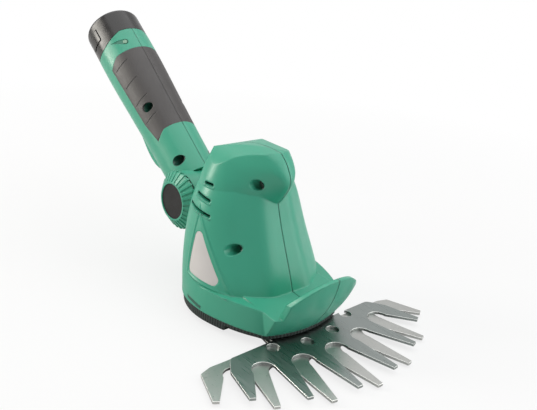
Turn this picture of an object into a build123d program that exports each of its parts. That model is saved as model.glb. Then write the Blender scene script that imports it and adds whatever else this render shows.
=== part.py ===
"""Cordless grass shears: clamshell head with beak and blade guard, fanned shear blades, tilting stick handle."""
from build123d import *
from math import acos, asin, atan2, cos, degrees, pi, radians, sin, sqrt, tan
import os

os.makedirs("parts", exist_ok=True)

# Clearances
running_gap = 0.05      # radial play of a shaft in its hole
face_gap = 0.3          # between faces that move past each other
blade_gap = 0.1         # between the two blades

# Blade stack, from the surface the tool stands on
sole_thick = 1.4
blade_thick = 1.6
yoke_thick = 1.1
sole_inset = 7.0
lower_blade_z = sole_thick
blade_plane = lower_blade_z + blade_thick
upper_blade_z = blade_plane + blade_gap
yoke_z = upper_blade_z + blade_thick
pivot_radius = 5.0

# Blade plan: teeth fan out from the pivot, and lean back towards the long axis
lower_teeth = 7
upper_teeth = 6
tooth_pitch = 15.6
lower_tip_radius = 110.4
upper_tip_radius = 107.4
outer_tip_drop = 1.6
tooth_lean = 0.68
tooth_length = 34.0
outer_tooth_length = 22.0
tooth_tip_width = 3.4
tooth_root_width = 12.0
gullet_radius = 6.9
gullet_depth = 30.5
gullet_shortening = 5.0
fan_back = 50.4
shoulder_radius = 7.0
blade_neck_width = 50.0
blade_hub_radius = 16.0
window_radius = 3.8
window_ring = 62.5
window_pitch = 19.6
window_shift = 2.0
rivet_radius = 2.0
rivet_x = 9.0
rivet_y = 9.0

# Crank drive: the crank swings the upper blade by half a tooth pitch each way
crank_x = -20.0
blade_swing = tooth_pitch / 2
crank_throw = -crank_x * sin(radians(blade_swing))
blade_rest = 1.55
crank_pin_radius = 2.5
yoke_slot_length = 12.0
yoke_width = 13.0
yoke_length = 18.0

# Gear train
gear_module = 1.0
pressure_angle = 25.0
addendum = 0.8
dedendum = 1.1
gear_backlash = 0.16
motor_pinion_teeth = 10
idler_gear_teeth = 26
idler_pinion_teeth = 10
crank_gear_teeth = 24
crank_gear_z = 10.0
crank_gear_thick = 6.0
idler_pinion_thick = 7.2
idler_gear_z = 16.8
idler_gear_thick = 5.0
motor_pinion_z = 16.8
motor_pinion_thick = 6.0
gear_shaft_radius = 1.5
motor_x = -4.0

# Motor
motor_radius = 13.85
motor_length = 38.0
motor_wall = 1.5
motor_shaft_radius = 1.15
motor_boss_radius = 5.0
motor_boss_height = 1.8
armature_radius = 11.0
armature_length = 26.0
gear_plate_z = 24.0
gear_plate_thick = 2.5

# Base plate with the knurled rim
rim_top = blade_plane + 5.0
rim_wall = 3.0
floor_z = 6.0
base_round = 42.0
base_centre = 5.0
base_side_x = 12.0
base_front_x = 49.5
base_front_y = 27.5
base_nose_x = 55.3
knurl_pitch = 3.6
knurl_radius = 0.75
knurl_reach = 118.0
base_boss_radius = 3.6
base_screw_radius = 1.5
base_screw_x = -2.0
base_screw_y = 31.0
rear_screw_x = -25.0
rear_screw_y = 20.0
base_lip = 1.5
base_screw_length = 12.0
base_screw_head = 2.6
base_screw_head_thick = 0.9
gear_screw_length = 8.0
front_post_x = 22.0
rim_front_x = 26.0
pivot_nut_radius = 5.0
pivot_nut_thick = 2.4

# Head housing
wall = 2.6
skirt_top = blade_plane + 20.0
skirt_slope = 4.0
skirt_slope_x = 42.0
head_top = blade_plane + 97.7
dome_long_radius = 82.0
dome_cross_radius = 34.0
dome_centre_x = 8.0
lip_top = blade_plane + 43.0
lip_thick = 2.6
lip_arch_radius = 29.5
lip_reach = 73.2
lip_knee_x = 69.8
lip_knee_z = blade_plane + 28.5
lip_bow = 9.0
lip_half = 29.5

# Screws that hold the shells: place on the side (x and height, or height and place along
# the handle), and distance of the head's seat from the parting line
screw_head_radius = 3.2
screw_head_play = 0.2
screw_head_thick = 2.4
screw_slot_width = 0.8
screw_slot_depth = 1.0
screw_shank_radius = 1.4
screw_boss_radius = 5.0
head_screw_spots = [(14.5, blade_plane + 79.5, 6.0), (16.5, blade_plane + 44.0, 18.5)]
head_screw_reach = 8.0
handle_screw_spots = [(10.3, 22.5, 5.0), (10.3, 67.0, 5.0)]
handle_screw_reach = 8.0

# Louvres: place, height above the blades, length and tilt
vent_width = 1.9
vents = [(-7.8, 75.4, 7.4, 0.0), (-8.8, 67.6, 13.0, -7.0), (-9.6, 60.0, 20.6, -6.0)]

# Tilt joint between head and handle
hinge_x = -50.5
hinge_z = blade_plane + 48.3
tongue_half = 8.0
tongue_radius = 17.2
tongue_block_half = 15.0
ear_outer = 17.3
ear_radius = 17.5
hinge_bolt_radius = 3.0
hinge_bolt_head_radius = 5.5
knob_radius = 18.6
knob_crown_radius = 12.4
knob_thick = 6.2
knob_rim_thick = 1.4
knob_space = 0.7
knob_rib_count = 28
knob_rib_width = 1.7
knob_rib_height = 0.7
knob_cap_radius = 11.3
knob_cap_thick = 2.2
knob_cap_sink = 0.5
bush_radius = 17.0
bush_thick = 1.0
far_cap_radius = 12.0
far_cap_thick = 4.0

# Handle, measured along its axis from the hinge
handle_rise = 35.2
handle_wall = 2.4
neck_radius = 16.5
neck_start = 11.0
handle_web_end = 20.5
palm_radius = 18.4
palm_at = 85.0
collar_radius = 19.2
collar_start = 116.0
collar_end = 129.5
collar_scallop = 5.5
scallop_half = 17.0

# Rubber grip: side outline as height above the axis and place along it
grip_thick = 1.0
grip_outline = [(5.6, 42.0), (2.8, 58.0), (1.8, 107.5), (10.0, 112.5), (25.0, 112.5), (25.0, 48.0), (12.0, 47.0)]

# Trigger and switch
trigger_half = 6.0
trigger_start = 34.0
trigger_end = 92.0
trigger_back = -11.0
trigger_roof = -6.5
trigger_edge = 17.0
trigger_pivot_at = 88.0
trigger_pivot_depth = 14.2
trigger_proud = 4.0
trigger_pin_radius = 1.25
trigger_pin_half = 9.0
trigger_boss_radius = 3.4
switch_at = 46.0
switch_length = 16.0
switch_mid = switch_at + switch_length / 2
switch_width = 10.0
switch_height = 9.0
switch_centre = 0.5
switch_web = 3.0
switch_stroke = 3.0
plunger_radius = 1.8
plunger_gap = 0.05

# Battery
battery_end = 149.0
battery_radius = 19.1
battery_edge_round = 3.0
battery_plug_radius = 16.0
battery_plug_start = 94.0
battery_shell = 0.9
cell_radius = 6.9
cell_length = 50.0
cell_start = 96.5
latch_at = 137.0
latch_length = 9.0
latch_width = 12.0
latch_floor = 15.9
latch_travel = 1.2
latch_proud = 0.4
contact_at = 92.0
contact_block_thick = 3.0
contact_spacing = 6.0
contact_radius = 1.2
contact_thick = 0.6

# Label and lamp
label_depth = 0.6
label_thick = 0.5
label_corners = [(-6.0, 55.0), (-5.7, 24.8), (20.5, 22.4)]
label_round = 3.0
lamp_at = 119.5
lamp_angle = 28.0
lamp_radius = 1.6
lamp_low = 17.0
lamp_proud = 0.3


def turned(angle, reach):
    """Point at a polar angle in degrees and a distance."""
    return (reach * cos(radians(angle)), reach * sin(radians(angle)))


handle_up = (sin(radians(handle_rise)), 0, cos(radians(handle_rise)))
handle_out = (-cos(radians(handle_rise)), 0, sin(radians(handle_rise)))
hinge_point = (hinge_x, 0, hinge_z)
handle_cross = Plane(origin=hinge_point, x_dir=handle_up, z_dir=handle_out)
handle_side = Plane(origin=hinge_point, x_dir=handle_up, z_dir=(0, -1, 0))
hinge_plane = Plane(origin=hinge_point, x_dir=(1, 0, 0), z_dir=(0, -1, 0))
side_view = Plane(origin=(0, 0, 0), x_dir=(1, 0, 0), z_dir=(0, -1, 0))
front_view = Plane(origin=(0, 0, 0), x_dir=(0, 1, 0), z_dir=(1, 0, 0))
far = 200.0


def save(piece, name, solids=None):
    """Label a piece and write it as parts/name.step."""
    shape = piece.part if solids is None else solids
    shape.label = name
    export_step(shape, f"parts/{name}.step")


# Base outline: a round back, drawn in towards the front, closed by a shallow arc
def base_wire(inset):
    """Outline of the base, moved inwards by inset."""
    round_r = base_round - inset
    side_y = sqrt(round_r ** 2 - (base_side_x - base_centre) ** 2)
    front = (base_front_x - inset, base_front_y - inset)
    ThreePointArc((base_side_x, -side_y), (base_centre - round_r, 0), (base_side_x, side_y))
    TangentArc((base_side_x, side_y), front, tangent=(side_y, base_centre - base_side_x))
    ThreePointArc(front, (base_nose_x - inset, 0), (front[0], -front[1]))
    TangentArc((base_side_x, -side_y), (front[0], -front[1]), tangent=(side_y, base_side_x - base_centre))


def base_sketch(height, inset):
    """Face of the base outline at a height."""
    with BuildSketch(Plane.XY.offset(height)) as outline:
        with BuildLine():
            base_wire(inset)
        make_face()
    return outline.sketch


# Blades
def tooth_place(angle, tip_radius):
    """Frame at a tooth's tip, its X axis along the leaning tooth."""
    return Location((*turned(angle, tip_radius), 0), (0, 0, angle * tooth_lean))


def tooth_angles(count):
    """Angles of the tips, spread evenly about the long axis."""
    return [(i - (count - 1) / 2) * tooth_pitch for i in range(count)]


def tip_reach(angle, tip_radius, count):
    """Tip radius, drawn in a little towards the outer teeth."""
    share = abs(angle) / ((count - 1) / 2 * tooth_pitch)
    return tip_radius - outer_tip_drop * share ** 2


def gullet_centre(angle, tip_radius, outermost):
    """Centre of the round gullet between two teeth."""
    depth = gullet_depth - gullet_shortening * (angle / outermost) ** 2
    tip = turned(angle, tip_radius)
    lean = angle * tooth_lean
    return (tip[0] - depth * cos(radians(lean)), tip[1] - depth * sin(radians(lean)))


def blade_plan(count, tip_radius):
    """Plan of a blade: hub, neck and fan, with leaning teeth between round gullets."""
    angles = tooth_angles(count)
    gaps = [(a + b) / 2 for a, b in zip(angles, angles[1:])]
    outer = tooth_place(angles[-1], tip_radius - outer_tip_drop) * Pos(-outer_tooth_length, tooth_root_width / 2)
    shoulder = (outer.position.X, outer.position.Y)
    centres = [gullet_centre(a, tip_radius, gaps[-1]) for a in gaps]
    corner = (fan_back, shoulder[1] - shoulder_radius)
    neck = (fan_back, blade_neck_width / 2)
    with BuildSketch() as plan:
        with BuildLine():
            Polyline((corner[0], -corner[1]), (shoulder[0], -shoulder[1]), *centres, shoulder, corner,
                     neck, (0, blade_hub_radius), (0, -blade_hub_radius), (neck[0], -neck[1]), close=True)
        make_face()
        fillet([v for v in plan.vertices() if abs(v.X - fan_back) < face_gap and abs(v.Y) > neck[1] + 1],
               shoulder_radius * 0.6)
        for angle in angles:
            length = outer_tooth_length if abs(angle) > gaps[-1] else tooth_length
            with Locations(tooth_place(angle, tip_reach(angle, tip_radius, count))):
                Polygon((0, -tooth_tip_width / 2), (0, tooth_tip_width / 2),
                        (-length, tooth_root_width / 2), (-length, -tooth_root_width / 2), align=None)
        with Locations(centres):
            Circle(gullet_radius, mode=Mode.SUBTRACT)
        Circle(blade_hub_radius)
    return plan.sketch


def windows():
    """The row of round windows behind the gullets."""
    return [turned((i - 1.5) * window_pitch + window_shift, window_ring) for i in range(4)]


with BuildPart() as lower_blade:
    with BuildSketch(Plane.XY.offset(lower_blade_z)):
        add(blade_plan(lower_teeth, lower_tip_radius))
        Circle(pivot_radius + running_gap, mode=Mode.SUBTRACT)
        with Locations((rivet_x, rivet_y), (rivet_x, -rivet_y)):
            Circle(rivet_radius, mode=Mode.SUBTRACT)
    extrude(amount=blade_thick)
save(lower_blade, "lower_blade")

upper_frame = Plane.XY.offset(upper_blade_z).rotated((0, 0, blade_rest))
with BuildPart() as upper_blade:
    with BuildSketch(upper_frame):
        add(blade_plan(upper_teeth, upper_tip_radius))
        with Locations((crank_x / 2 - yoke_length / 4, 0)):
            Rectangle(-crank_x + yoke_length / 2, yoke_width)
        Circle(pivot_radius + running_gap, mode=Mode.SUBTRACT)
        with Locations((crank_x, 0)):
            SlotOverall(yoke_slot_length, 2 * (crank_pin_radius + running_gap), mode=Mode.SUBTRACT)
        with Locations(windows()):
            Circle(window_radius, mode=Mode.SUBTRACT)
    extrude(amount=blade_thick)
save(upper_blade, "upper_blade")

with BuildPart() as blade_yoke:
    with BuildSketch(Plane.XY.offset(yoke_z).rotated((0, 0, blade_rest))):
        with Locations((crank_x, 0)):
            RectangleRounded(yoke_length, yoke_width, 3)
            SlotOverall(yoke_slot_length, 2 * (crank_pin_radius + running_gap), mode=Mode.SUBTRACT)
    extrude(amount=yoke_thick)
save(blade_yoke, "blade_yoke")

# Sole plate under the blades, with the rivets that hold the lower blade to it
base_screw_spots = [(base_screw_x, base_screw_y), (base_screw_x, -base_screw_y),
                    (rear_screw_x, rear_screw_y), (rear_screw_x, -rear_screw_y)]
with BuildPart() as sole_plate:
    extrude(base_sketch(0, sole_inset), amount=sole_thick)
    with BuildSketch():
        with Locations((rivet_x, rivet_y), (rivet_x, -rivet_y)):
            Circle(rivet_radius)
        Circle(pivot_radius)
        with Locations(base_screw_spots):
            Circle(base_screw_radius + running_gap)
    extrude(amount=sole_thick, mode=Mode.SUBTRACT)
    with BuildSketch():
        with Locations(base_screw_spots):
            Circle(base_screw_head + running_gap)
    extrude(amount=base_screw_head_thick, mode=Mode.SUBTRACT)
save(sole_plate, "sole_plate")

with BuildPart() as blade_rivets:
    with BuildSketch():
        with Locations((rivet_x, rivet_y), (rivet_x, -rivet_y)):
            Circle(rivet_radius)
    extrude(amount=blade_plane)
save(blade_rivets, "blade_rivets")

with BuildPart() as blade_pivot:
    with BuildSketch():
        Circle(pivot_radius)
    extrude(amount=floor_z)
    with BuildSketch(Plane.XY.offset(floor_z)):
        Circle(pivot_radius * 0.6)
    extrude(amount=rim_top - floor_z + pivot_nut_thick + 0.6)
save(blade_pivot, "blade_pivot")

with BuildPart() as pivot_nut:
    with BuildSketch(Plane.XY.offset(rim_top)):
        RegularPolygon(pivot_nut_radius, 6)
        Circle(pivot_radius * 0.6, mode=Mode.SUBTRACT)
    extrude(amount=pivot_nut_thick)
save(pivot_nut, "pivot_nut")

# Base plate: floor, knurled rim, and the posts that carry the gear plate
gear_posts = [(base_screw_x, base_screw_y), (base_screw_x, -base_screw_y),
              (rear_screw_x, -rear_screw_y), (front_post_x, 0)]
knurl_step = degrees(knurl_pitch / base_round)
knurl_side = int(knurl_reach / 2 / knurl_step)
knurls = [180 + i * knurl_step for i in range(-knurl_side, knurl_side + 1)]
with BuildPart() as base_plate:
    extrude(base_sketch(blade_plane, 0), amount=rim_top - blade_plane)
    extrude(base_sketch(rim_top, wall + running_gap), amount=base_lip)
    extrude(base_sketch(blade_plane, rim_wall), amount=floor_z - blade_plane, mode=Mode.SUBTRACT)
    extrude(base_sketch(rim_top, 2 * wall), amount=base_lip, mode=Mode.SUBTRACT)
    with BuildSketch(Plane.XY.offset(blade_plane)):
        with Locations((rim_front_x, 0)):
            Rectangle(base_round, 2 * base_round, align=(Align.MIN, Align.CENTER))
    extrude(amount=floor_z - blade_plane, mode=Mode.SUBTRACT)
    with BuildSketch(Plane.XY.offset(blade_plane)):
        with Locations([(base_centre + turned(a, base_round)[0], turned(a, base_round)[1]) for a in knurls]):
            Circle(knurl_radius)
    extrude(amount=rim_top - blade_plane, mode=Mode.SUBTRACT)
    with BuildSketch(Plane.XY.offset(sole_thick)):
        with Locations(base_screw_spots):
            Circle(base_boss_radius)
    extrude(amount=floor_z - sole_thick)
    with BuildSketch(Plane.XY.offset(rim_top)):
        with Locations(gear_posts):
            Circle(base_boss_radius)
    extrude(amount=gear_plate_z - rim_top)
    with BuildSketch(Plane.XY.offset(sole_thick)):
        with Locations(base_screw_spots):
            Circle(base_screw_radius)
    extrude(amount=base_screw_length - sole_thick, mode=Mode.SUBTRACT)
    with BuildSketch(Plane.XY.offset(gear_plate_z - gear_screw_length)):
        with Locations(gear_posts):
            Circle(base_screw_radius)
    extrude(amount=gear_screw_length, mode=Mode.SUBTRACT)
    with BuildSketch(Plane.XY.offset(floor_z)):
        Circle(pivot_radius * 0.6 + running_gap)
        with Locations((crank_x, 0)):
            Circle(crank_throw + crank_pin_radius + face_gap)
    extrude(amount=rim_top - floor_z, mode=Mode.SUBTRACT)
save(base_plate, "base_plate")

with BuildPart() as sole_screws:
    with BuildSketch():
        with Locations(base_screw_spots):
            Circle(base_screw_head)
    extrude(amount=base_screw_head_thick)
    with BuildSketch(Plane.XY.offset(base_screw_head_thick)):
        with Locations(base_screw_spots):
            Circle(base_screw_radius)
    extrude(amount=base_screw_length - base_screw_head_thick)
save(sole_screws, "sole_screws")


# Gears
def involute(angle):
    """Involute function of an angle in radians."""
    return tan(angle) - angle


def gear_plan(teeth, phase, bore):
    """Plan of a spur gear with a tooth centred on phase degrees."""
    pitch = gear_module * teeth / 2
    base = pitch * cos(radians(pressure_angle))
    tip = pitch + addendum * gear_module
    root = pitch - dedendum * gear_module
    half = pi / (2 * teeth) - gear_backlash / (4 * pitch) + involute(radians(pressure_angle))
    flank = [(radius, half - involute(acos(base / radius))) for radius in (max(base, root), pitch, tip)]
    if root < base:
        flank = [(root, half)] + flank
    outline = []
    for i in range(teeth):
        middle = radians(phase) + 2 * pi * i / teeth
        outline += [turned(degrees(middle - a), r) for r, a in flank]
        outline += [turned(degrees(middle + a), r) for r, a in reversed(flank)]
    with BuildSketch() as plan:
        Polygon(*outline, align=None)
        if bore:
            Circle(bore, mode=Mode.SUBTRACT)
    return plan.sketch


crank_idler = gear_module * (crank_gear_teeth + idler_pinion_teeth) / 2
idler_motor = gear_module * (idler_gear_teeth + motor_pinion_teeth) / 2
crank_motor = motor_x - crank_x
crank_corner = degrees(acos((crank_idler ** 2 + crank_motor ** 2 - idler_motor ** 2) / (2 * crank_idler * crank_motor)))
idler_at = (crank_x + turned(crank_corner, crank_idler)[0], turned(crank_corner, crank_idler)[1])
motor_line = degrees(atan2(-idler_at[1], motor_x - idler_at[0]))
crank_phase = -degrees(asin(-crank_x * sin(radians(blade_rest)) / crank_throw))
pin_at = (crank_x + turned(crank_phase, crank_throw)[0], turned(crank_phase, crank_throw)[1])
gear_bore = gear_shaft_radius + running_gap

with BuildPart() as crank_gear:
    with BuildSketch(Plane.XY.offset(crank_gear_z)):
        with Locations((crank_x, 0)):
            add(gear_plan(crank_gear_teeth, crank_corner, 0))
    extrude(amount=crank_gear_thick)
    with BuildSketch(Plane.XY.offset(yoke_z + yoke_thick + face_gap)):
        with Locations(pin_at):
            Circle(crank_pin_radius)
    extrude(amount=crank_gear_z - yoke_z - yoke_thick - face_gap)
    with BuildSketch(Plane.XY.offset(crank_gear_z + 1)):
        with Locations((crank_x, 0)):
            Circle(gear_bore)
    extrude(amount=crank_gear_thick - 1, mode=Mode.SUBTRACT)
save(crank_gear, "crank_gear")

with BuildPart() as idler_gear:
    with BuildSketch(Plane.XY.offset(crank_gear_z - face_gap)):
        with Locations(idler_at):
            add(gear_plan(idler_pinion_teeth, crank_corner + 180 + 180 / idler_pinion_teeth, gear_bore))
    extrude(amount=idler_gear_z - crank_gear_z + face_gap)
    with BuildSketch(Plane.XY.offset(idler_gear_z)):
        with Locations(idler_at):
            add(gear_plan(idler_gear_teeth, motor_line, gear_bore))
    extrude(amount=idler_gear_thick)
save(idler_gear, "idler_gear")

with BuildPart() as motor_pinion:
    with BuildSketch(Plane.XY.offset(motor_pinion_z)):
        with Locations((motor_x, 0)):
            add(gear_plan(motor_pinion_teeth, motor_line + 180 + 180 / motor_pinion_teeth, motor_shaft_radius))
    extrude(amount=motor_pinion_thick)
save(motor_pinion, "motor_pinion")

with BuildPart() as gear_shafts:
    with BuildSketch(Plane.XY.offset(crank_gear_z + 1 + face_gap)):
        with Locations((crank_x, 0)):
            Circle(gear_shaft_radius)
    extrude(amount=gear_plate_z + gear_plate_thick - crank_gear_z - 1 - face_gap)
    with BuildSketch(Plane.XY.offset(rim_top)):
        with Locations(idler_at):
            Circle(gear_shaft_radius)
    extrude(amount=gear_plate_z + gear_plate_thick - rim_top)
save(gear_shafts, "gear_shafts")

with BuildPart() as gear_plate:
    with BuildSketch(Plane.XY.offset(gear_plate_z)):
        with Locations([*gear_posts, (crank_x, 0), idler_at]):
            Circle(base_boss_radius + 1)
        with Locations((motor_x, 0)):
            Circle(motor_radius)
        make_hull()
        with Locations((crank_x, 0), idler_at):
            Circle(gear_shaft_radius, mode=Mode.SUBTRACT)
        with Locations((motor_x, 0)):
            Circle(motor_boss_radius + running_gap, mode=Mode.SUBTRACT)
        with Locations(gear_posts):
            Circle(base_screw_radius + running_gap, mode=Mode.SUBTRACT)
    extrude(amount=gear_plate_thick)
save(gear_plate, "gear_plate")

with BuildPart() as gear_plate_screws:
    with BuildSketch(Plane.XY.offset(gear_plate_z - gear_screw_length + face_gap)):
        with Locations(gear_posts):
            Circle(base_screw_radius)
    extrude(amount=gear_screw_length + gear_plate_thick - face_gap)
    with BuildSketch(Plane.XY.offset(gear_plate_z + gear_plate_thick)):
        with Locations(gear_posts):
            Circle(base_screw_head)
    extrude(amount=2)
save(gear_plate_screws, "gear_plate_screws")

# Motor: can with its two bearing bosses, and the armature on its shaft
motor_z = gear_plate_z + gear_plate_thick
motor_mid = motor_z + motor_length / 2
with BuildPart() as motor_can:
    with BuildSketch(Plane.XY.offset(motor_z)):
        with Locations((motor_x, 0)):
            Circle(motor_radius)
    extrude(amount=motor_length)
    with BuildSketch(Plane.XY.offset(motor_z - motor_boss_height)):
        with Locations((motor_x, 0)):
            Circle(motor_boss_radius)
    extrude(amount=motor_length + 2 * motor_boss_height)
    with BuildSketch(Plane.XY.offset(motor_z + motor_wall)):
        with Locations((motor_x, 0)):
            Circle(motor_radius - motor_wall)
    extrude(amount=motor_length - 2 * motor_wall, mode=Mode.SUBTRACT)
    with BuildSketch(Plane.XY.offset(motor_z - motor_boss_height)):
        with Locations((motor_x, 0)):
            Circle(motor_shaft_radius + running_gap)
    extrude(amount=motor_length + 2 * motor_boss_height, mode=Mode.SUBTRACT)
save(motor_can, "motor_can")

with BuildPart() as motor_armature:
    with BuildSketch(Plane.XY.offset(motor_pinion_z)):
        with Locations((motor_x, 0)):
            Circle(motor_shaft_radius)
    extrude(amount=motor_z + motor_length + 2 * motor_boss_height - motor_pinion_z)
    with BuildSketch(Plane.XY.offset(motor_mid - armature_length / 2)):
        with Locations((motor_x, 0)):
            Circle(armature_radius)
    extrude(amount=armature_length)
save(motor_armature, "motor_armature")


# Head housing: lofted hulls of four circles. A row holds the height above the blades, then
# centre x, centre y and radius of the rear pair of circles, and the same of the front pair.
tower_rows = [
    (5.0, (2.0, 3.0, 39.0), (33.0, 9.5, 13.5)),
    (22.0, (0.5, 4.5, 37.5), (24.6, 10.0, 14.0)),
    (42.0, (-5.0, 9.0, 30.0), (14.9, 7.0, 15.0)),
    (59.0, (-8.0, 9.0, 26.0), (8.1, 6.0, 14.5)),
    (72.0, (-9.0, 9.0, 21.5), (3.5, 4.5, 14.0)),
    (79.0, (-9.5, 9.0, 17.0), (1.5, 3.5, 11.5)),
]
head_rows = [
    (62.0, (-9.0, 9.5, 20.0), (10.5, 0.0, 5.0)),
    (70.0, (-9.3, 9.5, 20.8), (16.0, 0.0, 5.0)),
    (74.0, (-9.4, 9.7, 20.2), (19.4, 0.0, 4.6)),
    (78.0, (-9.5, 9.6, 19.3), (22.0, 0.0, 4.4)),
    (81.5, (-9.6, 9.2, 18.4), (21.9, 0.0, 5.6)),
    (86.0, (-9.7, 8.6, 17.0), (18.3, 0.0, 8.6)),
    (91.0, (-10.0, 7.5, 15.5), (13.6, 0.0, 10.4)),
    (95.0, (-10.5, 6.5, 14.0), (9.2, 0.0, 11.1)),
    (99.0, (-11.0, 5.5, 12.5), (5.8, 0.0, 10.4)),
]


def lofted(rows, inset):
    """Loft through the rows, each moved inwards by inset."""
    with BuildPart() as body:
        for height, rear, front in rows:
            with BuildSketch(Plane.XY.offset(blade_plane + height)):
                for x, y, radius in (rear, front):
                    with Locations([(x, side) for side in sorted({y, -y})]):
                        Circle(radius - inset)
                make_hull()
        loft()
    return body.part


def head_form(inset):
    """Head with its beak, under a domed top."""
    with BuildPart() as form:
        add(lofted(head_rows, inset))
        for view, middle, radius in ((side_view, dome_centre_x, dome_long_radius),
                                     (front_view, 0, dome_cross_radius)):
            with BuildSketch(view):
                with Locations((middle, head_top - radius)):
                    Circle(radius - inset)
            extrude(amount=far, both=True, mode=Mode.INTERSECT)
    return form.part


def prow_form(inset):
    """Front of the skirt, which sweeps up and forwards into the blade guard."""
    rows = [(rim_top, base_nose_x, base_front_x, base_front_y),
            (lip_knee_z, lip_knee_x, lip_knee_x - lip_bow, lip_half),
            (lip_top + lip_thick, lip_reach, lip_reach - lip_bow, lip_half)]
    with BuildPart() as form:
        for height, nose, shoulder, half in rows:
            with BuildSketch(Plane.XY.offset(height)):
                with BuildLine():
                    left = (shoulder - inset, half - inset)
                    right = (shoulder - inset, inset - half)
                    ThreePointArc(left, (nose - inset, 0), right)
                    Polyline(left, (front_post_x, half - inset), (front_post_x, inset - half), right)
                make_face()
        loft()
    return form.part


def above_trough(depth):
    """Space above the sloping floor between the tower and the guard, lowered by depth."""
    slope = radians(skirt_slope)
    trough = Plane(origin=(skirt_slope_x, 0, skirt_top - depth), z_dir=(sin(slope), 0, cos(slope)))
    with BuildPart() as space:
        with BuildSketch(trough):
            Rectangle(2 * far, 2 * far)
        extrude(amount=far)
    return space.part


def head_outer(inset):
    """Whole outer form of the head, moved inwards by inset."""
    with BuildPart() as form:
        extrude(base_sketch(rim_top, inset), amount=skirt_top - rim_top)
        add(prow_form(inset))
        add(above_trough(inset), mode=Mode.SUBTRACT)
        add(lofted(tower_rows, inset))
        add(head_form(inset))
    return form.part


def guard_lip():
    """The guard in front of the trough: a curved wall with an arched rim."""
    with BuildPart() as lip:
        add(prow_form(0))
        add(prow_form(lip_thick), mode=Mode.SUBTRACT)
        with BuildSketch(front_view):
            with Locations((0, lip_top - lip_arch_radius)):
                Circle(lip_arch_radius)
        extrude(amount=far, mode=Mode.INTERSECT)
        with BuildSketch(Plane.XY.offset(rim_top)):
            with Locations((base_front_x - lip_thick, 0)):
                Rectangle(far, 2 * (base_front_y - lip_thick), align=(Align.MIN, Align.CENTER))
        extrude(amount=far, mode=Mode.INTERSECT)
    return lip.part


def about_hinge(radius, near, away):
    """Disc about the hinge axis between two distances towards the right-hand side."""
    with BuildPart() as disc:
        with BuildSketch(hinge_plane.offset(near)):
            Circle(radius)
        extrude(amount=away - near)
    return disc.part


def columns(plane, spots, radius):
    """Round columns along both directions of the plane's normal."""
    with BuildPart() as posts:
        with BuildSketch(plane):
            with Locations([(x, y) for x, y, seat in spots]):
                Circle(radius)
        extrude(amount=far, both=True)
    return posts.part


def screw_holes(plane, spots, reach):
    """Head recesses and shank holes of screws that enter against the plane's normal."""
    with BuildPart() as holes:
        for x, y, seat in spots:
            with BuildSketch(plane.offset(seat)):
                with Locations((x, y)):
                    Circle(screw_head_radius)
            extrude(amount=far)
            with BuildSketch(plane.offset(-reach)):
                with Locations((x, y)):
                    Circle(screw_shank_radius + running_gap)
            extrude(amount=reach + seat)
    return holes.part


def screw_set(plane, spots, reach):
    """Screws that sit in those holes."""
    with BuildPart() as screws:
        for x, y, seat in spots:
            with BuildSketch(plane.offset(seat)):
                with Locations((x, y)):
                    Circle(screw_head_radius - screw_head_play)
            extrude(amount=screw_head_thick)
            with BuildSketch(plane.offset(seat + screw_head_thick - screw_slot_depth)):
                with Locations((x, y)):
                    Rectangle(2 * screw_shank_radius, screw_slot_width)
                    Rectangle(screw_slot_width, 2 * screw_shank_radius)
            extrude(amount=screw_slot_depth, mode=Mode.SUBTRACT)
            with BuildSketch(plane.offset(face_gap - reach)):
                with Locations((x, y)):
                    Circle(screw_shank_radius)
            extrude(amount=seat + reach - face_gap)
    return screws.part


def label_space(outer, inner):
    """Layer of the label's outline between two depths under the right-hand surface."""
    with BuildPart() as layer:
        with BuildSketch(side_view):
            with BuildLine():
                FilletPolyline(*[(x, blade_plane + z) for x, z in label_corners], radius=label_round, close=True)
            make_face()
        extrude(amount=far)
        add(lofted(tower_rows, outer), mode=Mode.INTERSECT)
        add(lofted(tower_rows, inner), mode=Mode.SUBTRACT)
    return layer.part


outer_form = head_outer(0)
recess_radius = knob_radius + knob_space
saddle = about_hinge(recess_radius + wall, -far, far) & outer_form
head_bosses = columns(side_view, head_screw_spots, screw_boss_radius) & outer_form
with BuildPart() as housing:
    add(outer_form)
    add(head_outer(wall), mode=Mode.SUBTRACT)
    add(guard_lip())
    add(saddle)
    add(head_bosses)
    add(about_hinge(ear_radius + face_gap, -far, far), mode=Mode.SUBTRACT)
    add(about_hinge(recess_radius, ear_outer + face_gap, far), mode=Mode.SUBTRACT)
    add(about_hinge(recess_radius, -far, -ear_outer - face_gap), mode=Mode.SUBTRACT)
    add(about_hinge(tongue_radius, -tongue_half, tongue_half))
    with BuildSketch(hinge_plane):
        Rectangle(recess_radius + wall / 2, 2 * tongue_block_half, align=(Align.MIN, Align.CENTER))
    extrude(amount=tongue_half, both=True)
    add(about_hinge(hinge_bolt_radius + running_gap, -tongue_half, tongue_half), mode=Mode.SUBTRACT)
    add(screw_holes(side_view, head_screw_spots, head_screw_reach), mode=Mode.SUBTRACT)
    for x, z, length, tilt in vents:
        with BuildSketch(side_view):
            with Locations(Location((x, blade_plane + z, 0), (0, 0, tilt))):
                SlotOverall(length, vent_width)
        extrude(amount=far, both=True, mode=Mode.SUBTRACT)
    add(label_space(0, label_depth), mode=Mode.SUBTRACT)

with BuildPart() as housing_right:
    add(housing.part)
    split(bisect_by=Plane.XZ, keep=Keep.TOP)
save(housing_right, "housing_right")
with BuildPart() as housing_left:
    add(housing.part)
    split(bisect_by=Plane.XZ, keep=Keep.BOTTOM)
save(housing_left, "housing_left")

with BuildPart() as label_plate:
    add(label_space(label_depth - label_thick, label_depth))
save(label_plate, "label_plate")

with BuildPart() as housing_screws:
    add(screw_set(side_view, head_screw_spots, head_screw_reach))
save(housing_screws, "housing_screws")


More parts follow.
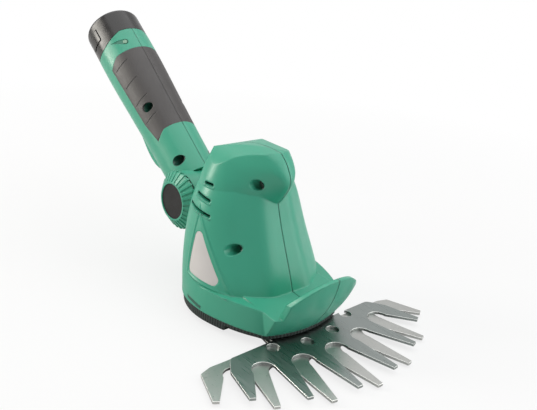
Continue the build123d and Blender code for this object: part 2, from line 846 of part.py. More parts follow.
# Handle
def handle_form(inset, start):
    """Handle turned about its axis, moved inwards by inset, from start outwards."""
    with BuildPart() as form:
        with BuildSketch(handle_side):
            with BuildLine():
                neck = (neck_radius - inset, neck_start)
                collar = (collar_radius - inset, collar_start)
                Spline(neck, (palm_radius - inset, palm_at), collar, tangents=[(0, 1), (0, 1)])
                Polyline(collar, (collar[0], battery_end), (0, battery_end), (0, neck_start), neck)
            make_face()
        revolve(axis=Axis(hinge_point, handle_out))
        if start > neck_start:
            with BuildSketch(handle_cross):
                Circle(far)
            extrude(amount=start, mode=Mode.SUBTRACT)
    return form.part


def handle_bar(length_start, length_end, low, high, half):
    """Block in the handle's frame: two places along it, two heights, and half its width."""
    with BuildPart() as block:
        with BuildSketch(handle_cross.offset(length_start)):
            with Locations(((low + high) / 2, 0)):
                Rectangle(high - low, 2 * half)
        extrude(amount=length_end - length_start)
    return block.part


def handle_rod(radius, start, end, height=0.0, side=0.0):
    """Round bar along the handle."""
    with BuildPart() as rod:
        with BuildSketch(handle_cross.offset(start)):
            with Locations((height, side)):
                Circle(radius)
        extrude(amount=end - start)
    return rod.part


def beyond_collar(gap):
    """Space beyond the handle's scalloped end, drawn back by gap."""
    scallop_radius = (scallop_half ** 2 + collar_scallop ** 2) / (2 * collar_scallop)
    with BuildPart() as space:
        with BuildSketch(handle_side):
            with Locations((0, collar_end - collar_scallop + scallop_radius)):
                Circle(scallop_radius - gap)
            with Locations((0, collar_end + gap)):
                Rectangle(2 * far, far, align=(Align.CENTER, Align.MIN))
        extrude(amount=far, both=True)
    return space.part


def grip_space():
    """Side outline of the rubber grip, through the whole handle."""
    with BuildPart() as space:
        with BuildSketch(handle_side):
            Polygon(*grip_outline, align=None)
        extrude(amount=far, both=True)
    return space.part


def lamp_rod(radius, low):
    """Round rod at the lamp, square to the handle's surface, from a distance off its axis."""
    lamp_angle_rad = radians(lamp_angle)
    lamp_frame = handle_cross.offset(lamp_at)
    outwards = lamp_frame.x_dir * cos(lamp_angle_rad) - lamp_frame.y_dir * sin(lamp_angle_rad)
    with BuildPart() as rod:
        with BuildSketch(Plane(origin=lamp_frame.origin + outwards * low, z_dir=outwards)):
            Circle(radius)
        extrude(amount=collar_radius + lamp_proud - low)
    return rod.part


slot_half = trigger_half + face_gap
handle_outside = handle_form(0, neck_start)
grip_skin = (handle_outside - handle_form(grip_thick, neck_start)) & grip_space()
handle_bosses = columns(handle_side, handle_screw_spots, screw_boss_radius) & handle_outside
pin_boss = columns(handle_side, [(-trigger_pivot_depth, trigger_pivot_at, 0)], trigger_boss_radius) & handle_outside
switch_low = switch_centre - switch_height / 2
switch_high = switch_centre + switch_height / 2
switch_end = switch_at + switch_length
with BuildPart() as handle:
    add(handle_outside)
    add(about_hinge(ear_radius, -ear_outer, ear_outer))
    add(handle_form(handle_wall, handle_web_end), mode=Mode.SUBTRACT)
    add(handle_rod(battery_plug_radius + face_gap, contact_at, battery_end), mode=Mode.SUBTRACT)
    add(handle_bosses)
    add(pin_boss)
    for web in (switch_at, switch_end - switch_web):
        add(handle_bar(web, web + switch_web, switch_low, switch_high, far) & handle_outside)
    add(handle_bar(switch_at, switch_end, switch_low, switch_high, switch_width / 2 + running_gap),
        mode=Mode.SUBTRACT)
    add(handle_bar(trigger_start - face_gap, trigger_end + face_gap, -far, trigger_roof, slot_half),
        mode=Mode.SUBTRACT)
    add(about_hinge(ear_radius + face_gap, -tongue_half - face_gap, tongue_half + face_gap), mode=Mode.SUBTRACT)
    add(about_hinge(hinge_bolt_radius, -ear_outer, ear_outer), mode=Mode.SUBTRACT)
    add(screw_holes(handle_side, handle_screw_spots, handle_screw_reach), mode=Mode.SUBTRACT)
    with BuildSketch(handle_side):
        with Locations((-trigger_pivot_depth, trigger_pivot_at)):
            Circle(trigger_pin_radius)
    extrude(amount=trigger_pin_half, both=True, mode=Mode.SUBTRACT)
    add(grip_skin, mode=Mode.SUBTRACT)
    add(beyond_collar(0), mode=Mode.SUBTRACT)
    add(lamp_rod(lamp_radius, lamp_low), mode=Mode.SUBTRACT)

with BuildPart() as handle_right:
    add(handle.part)
    split(bisect_by=Plane.XZ, keep=Keep.TOP)
save(handle_right, "handle_right")
with BuildPart() as handle_left:
    add(handle.part)
    split(bisect_by=Plane.XZ, keep=Keep.BOTTOM)
save(handle_left, "handle_left")

with BuildPart() as grip:
    add(grip_skin)
    add(columns(handle_side, handle_screw_spots, screw_head_radius), mode=Mode.SUBTRACT)
with BuildPart() as grip_right:
    add(grip.part)
    split(bisect_by=Plane.XZ, keep=Keep.TOP)
save(grip_right, "grip_right")
with BuildPart() as grip_left:
    add(grip.part)
    split(bisect_by=Plane.XZ, keep=Keep.BOTTOM)
save(grip_left, "grip_left")

with BuildPart() as handle_screws:
    add(screw_set(handle_side, handle_screw_spots, handle_screw_reach))
save(handle_screws, "handle_screws")

# Tilt joint hardware: bolt, clamp knob with its cap, bush and far cap
knob_near = ear_outer + bush_thick + face_gap
knob_face = knob_near + knob_thick
with BuildPart() as hinge_bolt:
    add(about_hinge(hinge_bolt_radius, -ear_outer, knob_face - knob_cap_thick - knob_cap_sink - face_gap))
    add(about_hinge(hinge_bolt_head_radius, -ear_outer - far_cap_thick / 2, -ear_outer))
save(hinge_bolt, "hinge_bolt")

with BuildPart() as far_cap:
    add(about_hinge(far_cap_radius, -ear_outer - far_cap_thick, -ear_outer))
    fillet(far_cap.faces().sort_by(Axis.Y)[-1].edges(), far_cap_thick / 3)
    add(about_hinge(hinge_bolt_head_radius + running_gap, -ear_outer - far_cap_thick / 2, -ear_outer),
        mode=Mode.SUBTRACT)
save(far_cap, "far_cap")

with BuildPart() as hinge_bush:
    add(about_hinge(bush_radius, ear_outer, ear_outer + bush_thick))
    add(about_hinge(hinge_bolt_radius, ear_outer, ear_outer + bush_thick), mode=Mode.SUBTRACT)
save(hinge_bush, "hinge_bush")


def knob_cone(drop):
    """Knob's rim and cone, drop lower than its ribs."""
    cone_height = knob_thick - knob_rim_thick
    with BuildPart() as cone:
        add(about_hinge(knob_radius - drop, knob_near, knob_near + knob_rim_thick))
        with BuildSketch(hinge_plane.offset(knob_near + knob_rim_thick)):
            Circle(knob_radius - drop)
        extrude(amount=cone_height, taper=degrees(atan2(knob_radius - knob_crown_radius, cone_height)))
    return cone.part


with BuildPart() as rib_pattern:
    with BuildSketch(hinge_plane):
        with PolarLocations((knob_radius + knob_crown_radius) / 2, knob_rib_count):
            Rectangle(knob_radius - knob_crown_radius + 2, knob_rib_width)
        Circle(knob_crown_radius)
    extrude(amount=far)
with BuildPart() as clamp_knob:
    add(knob_cone(knob_rib_height))
    add(knob_cone(0) & rib_pattern.part)
    add(about_hinge(knob_cap_radius, knob_face - knob_cap_thick - knob_cap_sink, knob_face), mode=Mode.SUBTRACT)
    add(about_hinge(hinge_bolt_radius + running_gap, knob_near, knob_face), mode=Mode.SUBTRACT)
save(clamp_knob, "clamp_knob")

with BuildPart() as knob_cap:
    add(about_hinge(knob_cap_radius, knob_face - knob_cap_thick - knob_cap_sink, knob_face - knob_cap_sink))
save(knob_cap, "knob_cap")

# Trigger, its pin, and the switch it presses
with BuildPart() as trigger:
    with BuildSketch(handle_side):
        with BuildLine():
            Polyline((trigger_back, trigger_start), (trigger_back, trigger_end), (-trigger_edge, trigger_end))
            Spline((-trigger_edge, trigger_end), (-palm_radius - trigger_proud, (trigger_start + trigger_end) / 2),
                   (-neck_radius - trigger_proud, trigger_start + trigger_proud), (-trigger_edge, trigger_start))
            Line((-trigger_edge, trigger_start), (trigger_back, trigger_start))
        make_face()
        with Locations((-trigger_pivot_depth, trigger_pivot_at)):
            Circle(trigger_pin_radius + running_gap, mode=Mode.SUBTRACT)
    extrude(amount=trigger_half, both=True)
save(trigger, "trigger")

with BuildPart() as trigger_pin:
    with BuildSketch(handle_side):
        with Locations((-trigger_pivot_depth, trigger_pivot_at)):
            Circle(trigger_pin_radius)
    extrude(amount=trigger_pin_half, both=True)
save(trigger_pin, "trigger_pin")

with BuildPart() as switch_body:
    add(handle_bar(switch_at, switch_end, switch_low, switch_high, switch_width / 2))
    with BuildSketch(handle_side):
        with Locations((switch_low, switch_mid)):
            Rectangle(2 * switch_stroke, 2 * (plunger_radius + running_gap), align=(Align.MIN, Align.CENTER))
    extrude(amount=plunger_radius + running_gap, both=True, mode=Mode.SUBTRACT)
save(switch_body, "switch_body")

with BuildPart() as switch_plunger:
    with BuildSketch(Plane(origin=handle_side.from_local_coords((trigger_back + plunger_gap, switch_mid, 0)),
                           z_dir=handle_up)):
        Circle(plunger_radius)
    extrude(amount=switch_low + switch_stroke - trigger_back - plunger_gap)
    fillet(switch_plunger.faces().sort_by(Axis.Z)[0].edges(), plunger_radius * 0.6)
save(switch_plunger, "switch_plunger")

# Contacts between handle and battery
contact_spots = [(0, contact_spacing), (0, -contact_spacing)]
with BuildPart() as contact_block:
    add(handle_rod(battery_plug_radius, contact_at - contact_block_thick, contact_at))
    add(handle_bar(contact_at - contact_block_thick, contact_at, -far, trigger_roof + face_gap, far),
        mode=Mode.SUBTRACT)
    for height, side in contact_spots:
        add(handle_rod(contact_radius, contact_at, battery_plug_start - contact_thick - face_gap, height, side))
save(contact_block, "contact_block")

with BuildPart() as battery_contacts:
    for height, side in contact_spots:
        add(handle_rod(2 * contact_radius, battery_plug_start - contact_thick, battery_plug_start, height, side))
save(battery_contacts, "battery_contacts")

# Lamp in the collar
with BuildPart() as lamp_lens:
    add(lamp_rod(lamp_radius - running_gap, lamp_low))
    fillet(lamp_lens.faces().sort_by(Axis.Z)[-1].edges(), lamp_proud)
save(lamp_lens, "lamp_lens")

# Battery: case with its plug, three cells, and two latch buttons that slide sideways
with BuildPart() as battery_case:
    add(handle_rod(battery_radius, collar_end - 2 * collar_scallop, battery_end))
    fillet(battery_case.faces().sort_by(Axis.X)[0].edges(), battery_edge_round)
    add(beyond_collar(face_gap), mode=Mode.INTERSECT)
    add(handle_rod(battery_plug_radius, battery_plug_start, collar_end))
    add(handle_rod(battery_plug_radius - battery_shell, battery_plug_start + battery_shell,
                   battery_end - 2 * battery_shell), mode=Mode.SUBTRACT)
    for side in (1, -1):
        with BuildSketch(handle_side.offset(side * latch_floor)):
            with Locations((0, latch_at)):
                Rectangle(latch_width + 2 * face_gap, latch_length + 2 * face_gap)
        extrude(amount=side * far, mode=Mode.SUBTRACT)
save(battery_case, "battery_case")

cell_ring = 2 * cell_radius / sqrt(3)
with BuildPart() as battery_cells:
    with BuildSketch(handle_cross.offset(cell_start)):
        with PolarLocations(cell_ring, 3):
            Circle(cell_radius - running_gap)
    extrude(amount=cell_length)
save(battery_cells, "battery_cells")

with BuildPart() as latch_pair:
    add(handle_rod(battery_radius + latch_proud, latch_at - latch_length / 2, latch_at + latch_length / 2))
    with BuildSketch(handle_side):
        with Locations((0, latch_at)):
            Rectangle(latch_width, latch_length)
    extrude(amount=far, both=True, mode=Mode.INTERSECT)
    with BuildSketch(handle_side):
        with Locations((0, latch_at)):
            Rectangle(2 * latch_width, 2 * latch_length)
    extrude(amount=latch_floor + latch_travel + face_gap, both=True, mode=Mode.SUBTRACT)
with BuildPart() as latch_right:
    add(latch_pair.part)
    split(bisect_by=Plane.XZ, keep=Keep.TOP)
save(latch_right, "latch_right")
with BuildPart() as latch_left:
    add(latch_pair.part)
    split(bisect_by=Plane.XZ, keep=Keep.BOTTOM)
save(latch_left, "latch_left")
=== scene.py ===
"""Cordless grass shears in a soft studio: materials, camera and light."""
from math import cos, radians, sin, sqrt

import bpy
from mathutils import Matrix, Vector

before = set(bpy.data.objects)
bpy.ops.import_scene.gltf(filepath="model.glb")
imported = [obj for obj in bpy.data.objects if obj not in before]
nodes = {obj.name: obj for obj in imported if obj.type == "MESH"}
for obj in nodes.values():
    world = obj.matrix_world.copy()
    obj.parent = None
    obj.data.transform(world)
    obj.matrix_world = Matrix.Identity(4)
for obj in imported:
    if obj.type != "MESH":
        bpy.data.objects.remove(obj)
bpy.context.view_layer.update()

MM = 0.001


# Colours
def linear(hex_colour):
    """Scene colour of an sRGB hex code."""
    parts = [int(hex_colour[i:i + 2], 16) / 255 for i in (0, 2, 4)]
    return [p / 12.92 if p <= 0.04045 else ((p + 0.055) / 1.055) ** 2.4 for p in parts]


def shaded(colour, factor):
    """Colour made lighter or darker, with full alpha."""
    return [min(1.0, c * factor) for c in colour] + [1.0]


class Tree:
    """Short way to build a material's nodes."""

    def __init__(self, name):
        self.material = bpy.data.materials.new(name)
        self.material.use_nodes = True
        self.tree = self.material.node_tree
        self.shader = self.tree.nodes["Principled BSDF"]
        self.coords = self.node("ShaderNodeTexCoord").outputs["Object"]

    def node(self, kind, **settings):
        made = self.tree.nodes.new(kind)
        for key, value in settings.items():
            setattr(made, key, value)
        return made

    def join(self, source, target):
        self.tree.links.new(source, target)

    def stretched(self, scale):
        """Object coordinates, scaled."""
        mapping = self.node("ShaderNodeMapping")
        mapping.inputs["Scale"].default_value = scale
        self.join(self.coords, mapping.inputs["Vector"])
        return mapping.outputs["Vector"]

    def noise(self, scale, detail=2.0, vector=None, roughness=0.5):
        made = self.node("ShaderNodeTexNoise")
        made.inputs["Scale"].default_value = scale
        made.inputs["Detail"].default_value = detail
        made.inputs["Roughness"].default_value = roughness
        self.join(vector or self.coords, made.inputs["Vector"])
        return made.outputs["Fac"]

    def between(self, value, low, high, start=0.3, end=0.7):
        """Value remapped to a range of numbers."""
        made = self.node("ShaderNodeMapRange")
        made.inputs["From Min"].default_value = start
        made.inputs["From Max"].default_value = end
        made.inputs["To Min"].default_value = low
        made.inputs["To Max"].default_value = high
        self.join(value, made.inputs["Value"])
        return made.outputs["Result"]

    def ramp(self, value, stops):
        made = self.node("ShaderNodeValToRGB")
        while len(made.color_ramp.elements) < len(stops):
            made.color_ramp.elements.new(0.5)
        for element, (place, colour) in zip(made.color_ramp.elements, stops):
            element.position = place
            element.color = colour
        self.join(value, made.inputs["Fac"])
        return made.outputs["Color"]

    def rounded(self, radius):
        """Normal that rounds edges over a radius."""
        bevel = self.node("ShaderNodeBevel", samples=14)
        bevel.inputs["Radius"].default_value = radius
        return bevel.outputs["Normal"]

    def bump(self, height, strength, distance, normal):
        made = self.node("ShaderNodeBump")
        made.inputs["Strength"].default_value = strength
        made.inputs["Distance"].default_value = distance
        self.join(height, made.inputs["Height"])
        self.join(normal, made.inputs["Normal"])
        return made.outputs["Normal"]

    def number(self, operation, *values):
        """Sum on sockets and plain numbers."""
        made = self.node("ShaderNodeMath", operation=operation)
        for socket, value in zip(made.inputs, values):
            if isinstance(value, (int, float)):
                socket.default_value = value
            else:
                self.join(value, socket)
        return made.outputs[0]

    def along(self, direction, origin=(0, 0, 0)):
        """Millimetres from an origin along a direction."""
        made = self.node("ShaderNodeVectorMath", operation="DOT_PRODUCT")
        self.join(self.coords, made.inputs[0])
        made.inputs[1].default_value = Vector(direction) / MM
        return self.number("SUBTRACT", made.outputs["Value"], Vector(direction).dot(Vector(origin)))

    def inside(self, distance, soft):
        """1 where a distance in millimetres is below zero, fading out over soft."""
        made = self.node("ShaderNodeMapRange", interpolation_type="SMOOTHSTEP")
        for key, value in (("From Min", -soft), ("From Max", soft), ("To Min", 1.0), ("To Max", 0.0)):
            made.inputs[key].default_value = value
        self.join(distance, made.inputs["Value"])
        return made.outputs["Result"]

    def tinted(self, colour, mask, other):
        """Colour that turns into another one where the mask is 1."""
        made = self.node("ShaderNodeMix", data_type="RGBA")
        self.join(mask, made.inputs["Factor"])
        self.join(colour, made.inputs["A"])
        made.inputs["B"].default_value = other
        return made.outputs["Result"]


def moulded(name, hex_colour, rough, grain=0.12, grain_scale=2600.0, spread=0.05, edge=0.5,
            specular=0.5, marks=()):
    """Moulded plastic or rubber: tone drift, fine grain, rounded edges, and marks pressed into it, most of
    them darkened with painted shade.
    """
    mat = Tree(name)
    colour = linear(hex_colour)
    drift = mat.noise(26.0, 3.0)
    tone = mat.ramp(drift, [(0.3, shaded(colour, 1 - spread)), (0.7, shaded(colour, 1 + spread))])
    patches = mat.noise(140.0, 4.0)
    mat.join(mat.between(patches, rough - 0.05, rough + 0.06), mat.shader.inputs["Roughness"])
    fine = mat.noise(grain_scale, 2.0)
    normal = mat.bump(fine, grain, 0.0002, mat.rounded(edge * MM))
    # A shade below 1 darkens the mark: painted shade in recesses and grooves, a dark joint on the parting
    # line.
    for mark, shade, depth in marks:
        mask = mark(mat)
        tone = mat.tinted(tone, mask, shaded(colour, shade))
        normal = mat.bump(mask, 1.0, -depth * MM, normal)
    mat.join(tone, mat.shader.inputs["Base Color"])
    mat.join(normal, mat.shader.inputs["Normal"])
    mat.shader.inputs["Specular IOR Level"].default_value = specular
    return mat.material


def metal(name, hex_colour, rough, brush=(30.0, 900.0, 900.0), strength=0.12, edge=0.25, ground_glint=None):
    """Brushed or plated metal, its marks stretched one way, its ground edges tinted to another tone as a
    painted highlight.
    """
    mat = Tree(name)
    colour = linear(hex_colour)
    marks = mat.noise(1.0, 4.0, mat.stretched(brush), 0.6)
    cloud = mat.noise(30.0, 3.0)
    tone = mat.ramp(cloud, [(0.3, shaded(colour, 0.94)), (0.7, shaded(colour, 1.05))])
    soft = mat.rounded(edge * MM)
    # Near-white edges: a real ground finish with a painted highlight on it.
    if ground_glint:
        turned = mat.node("ShaderNodeVectorMath", operation="DOT_PRODUCT")
        mat.join(soft, turned.inputs[0])
        mat.join(mat.node("ShaderNodeNewGeometry").outputs["True Normal"], turned.inputs[1])
        on_edge = mat.between(turned.outputs["Value"], 1.0, 0.0, 0.86, 0.985)
        tone = mat.tinted(tone, on_edge, shaded(linear(ground_glint), 1))
    mat.join(tone, mat.shader.inputs["Base Color"])
    mat.join(mat.between(marks, rough - 0.08, rough + 0.10), mat.shader.inputs["Roughness"])
    mat.join(mat.bump(marks, strength, 0.00008, soft), mat.shader.inputs["Normal"])
    mat.shader.inputs["Metallic"].default_value = 1.0
    return mat.material


# Marks pressed into the moulded pieces, in millimetres, several of them darkened with painted shade
hinge_place = (-50.5, 0, 51.3)
handle_rise = radians(35.2)
handle_up = (sin(handle_rise), 0, cos(handle_rise))
handle_out = (-cos(handle_rise), 0, sin(handle_rise))
collar_radius = 19.2
parting_half_width = 0.14

groove_middle, groove_pitch, groove_half_width = 60.2, 15.2, 0.28
groove_angle, groove_half_angle = radians(58), radians(17)
groove_slant, groove_slant_from = 4.3, radians(45)
grip_radius, grooves_end = 19.0, 110.0

lamp_along, lamp_angle = 119.5, radians(28.0)
recess_run, recess_rise = 8.0, 3.2
recess_radius, recess_taper = 2.1, 0.21

frame_corners = [(-6.0, 58.0), (-5.7, 27.8), (20.5, 25.4)]
frame_distance, frame_half_width = 2.1, 0.5
near_side_from = -15.0

louvre_lips = [(-7.8, 76.6, 8.4, 0.0), (-8.8, 68.8, 14.0, -7.0), (-7.0, 61.0, 16.0, -6.0)]
lip_width = 0.7

screws_along, screws_height, pit_radius = (22.5, 67.0), 10.3, 3.5

rib_centre, ribs_per_radian, rib_wave, rib_half_width = 5.0, 42.0, 0.9, 0.38

slot_place, slot_tilt, slot_length, slot_width = (1.4, 10.5), -5.0, 14.0, 1.8


def along_handle(mat):
    """Distance from the hinge along the handle."""
    return mat.along(handle_out, hinge_place)


def round_handle(mat):
    """Angle round the handle, from its top towards the right-hand side."""
    return mat.number("ARCTAN2", mat.along((0, -1, 0)), mat.along(handle_up, hinge_place))


def apart(mat, value, other):
    """Size of the difference of two values."""
    return mat.number("ABSOLUTE", mat.number("SUBTRACT", value, other))


def diagonal(mat, value, other):
    """Root of the sum of two squares."""
    squares = mat.number("ADD", mat.number("MULTIPLY", value, value), mat.number("MULTIPLY", other, other))
    return mat.number("SQRT", squares)


def most(mat, masks):
    """Largest of several masks."""
    largest = masks[0]
    for mask in masks[1:]:
        largest = mat.number("MAXIMUM", largest, mask)
    return largest


def on_near_side(mat, mask):
    """Mask kept on the right-hand side alone."""
    return mat.number("MULTIPLY", mask, mat.inside(mat.along((0, 1, 0), (0, near_side_from, 0)), 1.0))


def bar(mat, place, tilt, length, width, soft):
    """Straight bar seen from the side: middle, tilt in degrees, length and width."""
    run, rise = cos(radians(tilt)), sin(radians(tilt))
    middle = (place[0], 0, place[1])
    beside = mat.number("SUBTRACT", apart(mat, mat.along((run, 0, rise), middle), 0.0), length / 2)
    over = mat.number("SUBTRACT", apart(mat, mat.along((-rise, 0, run), middle), 0.0), width / 2)
    return mat.inside(mat.number("MAXIMUM", beside, over), soft)


def parting_line(mat):
    """Fine line where the two shells meet."""
    from_middle = mat.number("ABSOLUTE", mat.along((0, 1, 0)))
    return mat.inside(mat.number("SUBTRACT", from_middle, parting_half_width), 0.14)


def grip_grooves_and_shade(mat):
    """Four short curved grooves on the side of the rubber, pressed in and darkened with painted shade."""
    place, angle = along_handle(mat), round_handle(mat)
    turned = mat.number("SUBTRACT", angle, groove_slant_from)
    slanted = mat.number("MULTIPLY_ADD", turned, groove_slant, place)
    highest, lowest = groove_middle + groove_pitch / 2, groove_middle - groove_pitch / 2
    repeated = mat.number("WRAP", slanted, highest, lowest)
    line = mat.inside(mat.number("SUBTRACT", apart(mat, repeated, groove_middle), groove_half_width), 0.22)
    spread = mat.number("SUBTRACT", apart(mat, angle, groove_angle), groove_half_angle)
    wide = mat.inside(mat.number("MULTIPLY", spread, grip_radius), 1.2)
    below_end = mat.inside(mat.number("SUBTRACT", place, grooves_end), 0.5)
    return mat.number("MULTIPLY", mat.number("MULTIPLY", line, wide), below_end)


def lamp_recess_and_shade(mat):
    """Teardrop recess beside the lamp, running to a point round the collar, pressed in and darkened with
    painted shade.
    """
    across = mat.number("MULTIPLY_ADD", round_handle(mat), collar_radius, -collar_radius * lamp_angle)
    rise = mat.number("SUBTRACT", along_handle(mat), lamp_along)
    length = sqrt(recess_run ** 2 + recess_rise ** 2)
    cosine, sine = recess_run / length, recess_rise / length
    run = mat.number("ADD", mat.number("MULTIPLY", across, cosine), mat.number("MULTIPLY", rise, sine))
    off = mat.number("SUBTRACT", mat.number("MULTIPLY", rise, cosine), mat.number("MULTIPLY", across, sine))
    ahead = mat.number("MAXIMUM", mat.number("MULTIPLY", run, -1.0), 0.0)
    narrowing = mat.number("MULTIPLY_ADD", mat.number("MAXIMUM", run, 0.0), recess_taper, -recess_radius)
    return mat.inside(mat.number("ADD", diagonal(mat, off, ahead), narrowing), 0.25)


def label_frame(mat):
    """Raised rim round the label's place on the right-hand side."""
    sides = []
    for (x, z), (next_x, next_z) in zip(frame_corners, frame_corners[1:] + frame_corners[:1]):
        run, rise = next_x - x, next_z - z
        size = sqrt(run ** 2 + rise ** 2)
        sides.append(mat.along((rise / size, 0, -run / size), (x, 0, z)))
    rim = mat.number("SUBTRACT", apart(mat, most(mat, sides), frame_distance), frame_half_width)
    return on_near_side(mat, mat.inside(rim, 1.0))


def vent_lips(mat):
    """Raised lip under each louvre."""
    lips = [bar(mat, (x, z), tilt, length, lip_width, 0.5) for x, z, length, tilt in louvre_lips]
    return most(mat, lips)


def screw_pit_shade(mat):
    """Painted shade darkening the bottoms of the screw recesses in the handle."""
    over = mat.number("SUBTRACT", mat.along(handle_up, hinge_place), screws_height)
    pit_shades = []
    for spot in screws_along:
        reach = diagonal(mat, mat.number("SUBTRACT", along_handle(mat), spot), over)
        pit_shades.append(mat.inside(mat.number("SUBTRACT", reach, pit_radius), 0.15))
    return most(mat, pit_shades)


def rim_ribs_and_shade(mat):
    """Fine upright ribs round the rim of the base, the grooves between them pressed in and darkened with
    painted shade.
    """
    angle = mat.number("ARCTAN2", mat.along((0, 1, 0)), mat.along((1, 0, 0), (rib_centre, 0, 0)))
    wave = mat.number("PINGPONG", mat.number("MULTIPLY", angle, ribs_per_radian), rib_wave)
    return mat.inside(mat.number("SUBTRACT", wave, rib_half_width), 0.3)


def skirt_slot_and_shade(mat):
    """Shallow slot near the bottom of the right-hand skirt, pressed in and darkened with painted shade."""
    return on_near_side(mat, bar(mat, slot_place, slot_tilt, slot_length, slot_width, 0.25))


# Materials
green = moulded("shell_green", "3A9F82", 0.33, grain=0.08, spread=0.02)
# The head's skirt slot is darkened with painted shade.
green_head = moulded("head_green", "3A9F82", 0.33, grain=0.08, spread=0.02, edge=1.3,
                     marks=[(parting_line, 0.35, 0.25), (label_frame, 1.0, -0.7), (vent_lips, 1.0, -0.45),
                            (skirt_slot_and_shade, 0.3, 0.8)])
# Handle marks: the screw pits are painted shade alone, the lamp recess is pressed in and darkened with
# painted shade.
green_handle = moulded("handle_green", "3A9F82", 0.33, grain=0.08, spread=0.02,
                       marks=[(parting_line, 0.35, 0.25), (lamp_recess_and_shade, 0.5, 0.7), (screw_pit_shade, 0.2, 0.0)])
# The base's rib grooves are darkened with painted shade.
green_base = moulded("base_green", "1C2A26", 0.5, marks=[(rim_ribs_and_shade, 0.25, 0.5)])
# The rubber's grooves are darkened with painted shade.
rubber = moulded("grip_rubber", "2E2A29", 0.44, grain=0.35, grain_scale=3200.0, specular=0.6,
                 marks=[(parting_line, 0.4, 0.25), (grip_grooves_and_shade, 0.35, 0.4)])
# Both blades are the same steel: the upper one painted darker and the lower one lighter, a painted
# reflection of the housing above and the white floor below.
upper_steel = metal("upper_steel", "8E9492", 0.32, brush=(60.0, 1500.0, 300.0), strength=0.03, edge=0.4,
                    ground_glint="F4F4F0")
lower_steel = metal("lower_steel", "B2B3B0", 0.34, brush=(700.0, 1500.0, 700.0), strength=0.22, edge=0.4,
                    ground_glint="F4F4F0")
plate_steel = metal("plate_steel", "A9AAAC", 0.34)
screw_steel = metal("screw_steel", "8A8A88", 0.36, brush=(400.0, 400.0, 400.0))
gear_nylon = moulded("gear_nylon", "E2DFD2", 0.42)
pinion_brass = metal("pinion_brass", "C9A45C", 0.3)
motor_steel = metal("motor_steel", "9C9DA0", 0.3, brush=(700.0, 700.0, 30.0))
black_plastic = moulded("black_plastic", "171515", 0.55, grain=0.8, grain_scale=1500.0, spread=0.1,
                        specular=0.3)
battery_black = moulded("battery_black", "151312", 0.26, grain=0.02, spread=0.08, specular=0.45)
cell_wrap = moulded("cell_wrap", "4C7F9F", 0.4)
contact_brass = metal("contact_brass", "CDAA66", 0.25)
plunger_red = moulded("plunger_red", "9E1B12", 0.35)
label_pale = moulded("label_pale", "CDC9C7", 0.4, grain=0.05, spread=0.04)
lamp_clear = moulded("lamp_clear", "7FA98F", 0.15, grain=0.02)

looks = {
    green: ["trigger", "clamp_knob"],
    green_head: ["housing_right", "housing_left"],
    green_handle: ["handle_right", "handle_left"],
    green_base: ["base_plate"],
    rubber: ["grip_right", "grip_left"],
    upper_steel: ["upper_blade"],
    lower_steel: ["lower_blade"],
    plate_steel: ["sole_plate", "blade_yoke", "blade_rivets", "blade_pivot", "pivot_nut", "gear_plate",
                  "gear_shafts"],
    screw_steel: ["sole_screws", "gear_plate_screws", "housing_screws", "handle_screws", "trigger_pin",
                  "hinge_bolt"],
    gear_nylon: ["crank_gear", "idler_gear"],
    pinion_brass: ["motor_pinion"],
    motor_steel: ["motor_can", "motor_armature"],
    black_plastic: ["hinge_bush", "far_cap", "knob_cap", "switch_body", "contact_block"],
    battery_black: ["battery_case", "latch_right", "latch_left"],
    cell_wrap: ["battery_cells"],
    contact_brass: ["battery_contacts"],
    plunger_red: ["switch_plunger"],
    label_pale: ["label_plate"],
    lamp_clear: ["lamp_lens"],
}
for look, names in looks.items():
    for name in names:
        piece = nodes[name]
        if not piece.material_slots:
            piece.data.materials.append(look)
        for place in piece.material_slots:
            place.material = look

# Camera at the photograph's viewpoint
view_turn, view_rise, view_roll = radians(47.12), radians(21.69), radians(5.89)
view_target = Vector((-9.9, 19.9, 55.3)) * MM
view_distance = 436.38 * MM
back = Vector((sin(view_turn) * cos(view_rise), -cos(view_turn) * cos(view_rise), sin(view_rise)))
level = Vector((cos(view_turn), sin(view_turn), 0))
upright = back.cross(level)
right = level * cos(view_roll) + upright * sin(view_roll)
above = upright * cos(view_roll) - level * sin(view_roll)
camera_data = bpy.data.cameras.new("camera")
camera = bpy.data.objects.new("camera", camera_data)
bpy.context.scene.collection.objects.link(camera)
camera_data.sensor_width = 36.0
camera_data.lens = 46.88
camera_data.clip_start = 0.01
axes = Matrix((right, above, back)).transposed()
camera.matrix_world = Matrix.Translation(view_target + back * view_distance) @ axes.to_4x4()
bpy.context.scene.camera = camera


# Studio
def area_light(name, place, aim, size, power, colour=(1, 1, 1)):
    """Soft rectangular lamp at a place, facing a point."""
    data = bpy.data.lights.new(name, "AREA")
    data.shape = "RECTANGLE"
    data.size, data.size_y = size
    data.energy = power
    data.color = colour
    lamp = bpy.data.objects.new(name, data)
    bpy.context.scene.collection.objects.link(lamp)
    lamp.location = place
    lamp.rotation_euler = (Vector(aim) - Vector(place)).to_track_quat("-Z", "Y").to_euler()


area_light("right_lamp", (0.95, 0.75, 0.55), (0, 0, 0.05), (1.5, 1.5), 13.0)
area_light("left_lamp", (-0.85, -0.85, 0.5), (-0.05, 0, 0.08), (0.35, 0.9), 11.0, (1.0, 0.96, 0.88))
area_light("top_lamp", (-0.1, 0.1, 1.3), (0, 0, 0.05), (1.8, 1.8), 15.0)

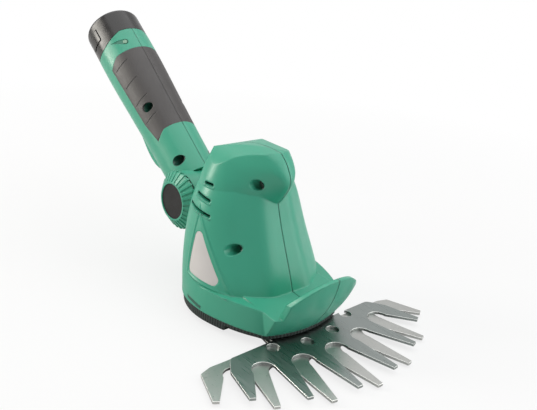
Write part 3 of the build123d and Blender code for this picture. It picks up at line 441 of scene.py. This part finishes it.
world = bpy.data.worlds.new("studio")
bpy.context.scene.world = world
world.use_nodes = True
sky = world.node_tree
sky.nodes.clear()
fill_light = sky.nodes.new("ShaderNodeBackground")
fill_light.inputs["Color"].default_value = (0.9, 0.93, 0.95, 1)
fill_light.inputs["Strength"].default_value = 0.13
seen_white = sky.nodes.new("ShaderNodeBackground")
seen_white.inputs["Color"].default_value = (1, 1, 1, 1)
paths = sky.nodes.new("ShaderNodeLightPath")
glossy_part = sky.nodes.new("ShaderNodeMath")
glossy_part.operation = "MULTIPLY_ADD"
glossy_part.inputs[1].default_value = 0.8
sky.links.new(paths.outputs["Is Glossy Ray"], glossy_part.inputs[0])
sky.links.new(paths.outputs["Is Camera Ray"], glossy_part.inputs[2])
blend_sky = sky.nodes.new("ShaderNodeMixShader")
sky.links.new(glossy_part.outputs[0], blend_sky.inputs["Fac"])
sky.links.new(fill_light.outputs[0], blend_sky.inputs[1])
sky.links.new(seen_white.outputs[0], blend_sky.inputs[2])
sky_out = sky.nodes.new("ShaderNodeOutputWorld")
sky.links.new(blend_sky.outputs[0], sky_out.inputs["Surface"])

# Floor: near white to the eye, with the object's shadow
floor_size, floor_drop = 14, 0.2 * MM
bpy.ops.mesh.primitive_plane_add(size=floor_size, location=(0, 0, -floor_drop))
floor = bpy.context.object
floor.name = "floor"
floor_tree = Tree("floor_white")
floor_noise = floor_tree.noise(3.0, 2.0)
floor_tree.join(floor_tree.ramp(floor_noise, [(0.3, (0.80, 0.80, 0.80, 1)), (0.7, (0.82, 0.82, 0.82, 1))]),
                floor_tree.shader.inputs["Base Color"])
floor_tree.shader.inputs["Roughness"].default_value = 0.9
floor_tree.shader.inputs["Specular IOR Level"].default_value = 0.0
glow = floor_tree.node("ShaderNodeEmission")
glow.inputs["Color"].default_value = (1, 1, 1, 1)
glow.inputs["Strength"].default_value = 1.0
floor_paths = floor_tree.node("ShaderNodeLightPath")
from_object = floor_tree.node("ShaderNodeVectorMath", operation="LENGTH")
floor_tree.join(floor_tree.coords, from_object.inputs[0])
share = floor_tree.between(from_object.outputs["Value"], 0.77, 1.0, 0.25, 0.6)
floor_mix = floor_tree.node("ShaderNodeMixShader")
seen_share = floor_tree.number("MULTIPLY", floor_paths.outputs["Is Camera Ray"], share)
floor_tree.join(seen_share, floor_mix.inputs["Fac"])
floor_tree.join(floor_tree.shader.outputs[0], floor_mix.inputs[1])
floor_tree.join(glow.outputs[0], floor_mix.inputs[2])
floor_tree.join(floor_mix.outputs[0], floor_tree.tree.nodes["Material Output"].inputs["Surface"])
floor.data.materials.append(floor_tree.material)

bpy.context.scene.view_settings.view_transform = "Standard"
